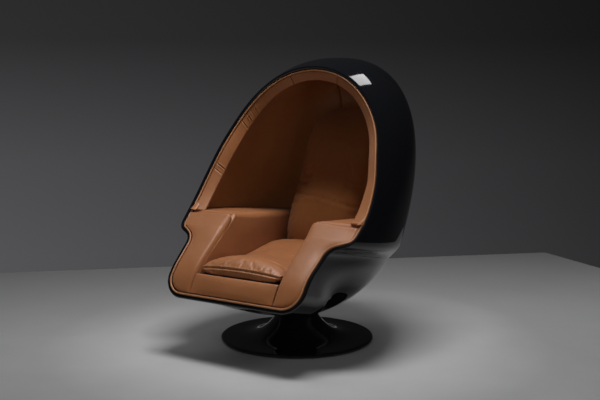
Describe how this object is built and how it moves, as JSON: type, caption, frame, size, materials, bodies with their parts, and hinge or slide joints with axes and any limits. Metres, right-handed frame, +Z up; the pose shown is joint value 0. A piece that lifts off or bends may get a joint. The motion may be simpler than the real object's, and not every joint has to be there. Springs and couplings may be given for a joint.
{
  "type": "pod chair",
  "caption": "Egg-shaped swivel lounge chair: a moulded gloss shell with an undercut waist and padded leather interior, on a round trumpet pedestal.",
  "frame": {"origin": "centre of the felt pad's face on the floor, on the swivel axis", "axes": "+Z up along the swivel axis, the sitter faces -Y, +X is on the sitter's left"},
  "size_m": [1.0204, 1.1615, 1.286],
  "materials": {
    "shell_gloss": "black high-gloss moulded shell, polished",
    "pedestal_lacquer": "black gloss enamel on a spun metal cover",
    "leather": "smooth tan leather over foam, soft sheen",
    "piping": "lighter tan leather rolled over a cord",
    "foam": "upholstery foam in its calico",
    "plywood": "birch plywood, unfinished",
    "turned_steel": "turned and zinc-plated steel",
    "raw_steel": "grey primer on steel",
    "bronze": "sintered bronze",
    "felt": "dark felt"
  },
  "bodies": {
    "base": {"felt_pad": "felt", "base_plate": "raw_steel", "base_cover": "pedestal_lacquer", "column": "turned_steel", "column_bolts": "turned_steel", "lower_bush": "bronze", "upper_bush": "bronze", "thrust_washer": "bronze"},
    "pod": {"spindle": "turned_steel", "retaining_ring": "raw_steel", "swivel_plate": "pedestal_lacquer", "shell_bolts": "turned_steel", "load_spreader": "plywood", "lower_shell": "shell_gloss", "upper_shell": "shell_gloss", "welt": "piping", "deck_battens": "plywood", "seat_deck": "plywood", "seat_platform": "foam", "apron": "leather", "seat_cushion": "leather", "back_block": "foam", "back_cushion": "leather", "arm_left": "leather", "arm_right": "leather", "arm_front_left": "leather", "arm_front_right": "leather", "band_left": "leather", "band_top": "leather", "band_right": "leather", "side_liner_left": "leather", "side_liner_right": "leather", "roof_liner": "leather", "back_liner": "leather"}
  },
  "joints": [
    {"name": "swivel", "type": "hinge", "parent": "base", "child": "pod", "pos_m": [0, 0, 0], "axis": [0, 0, 1], "continuous": true}
  ]
}
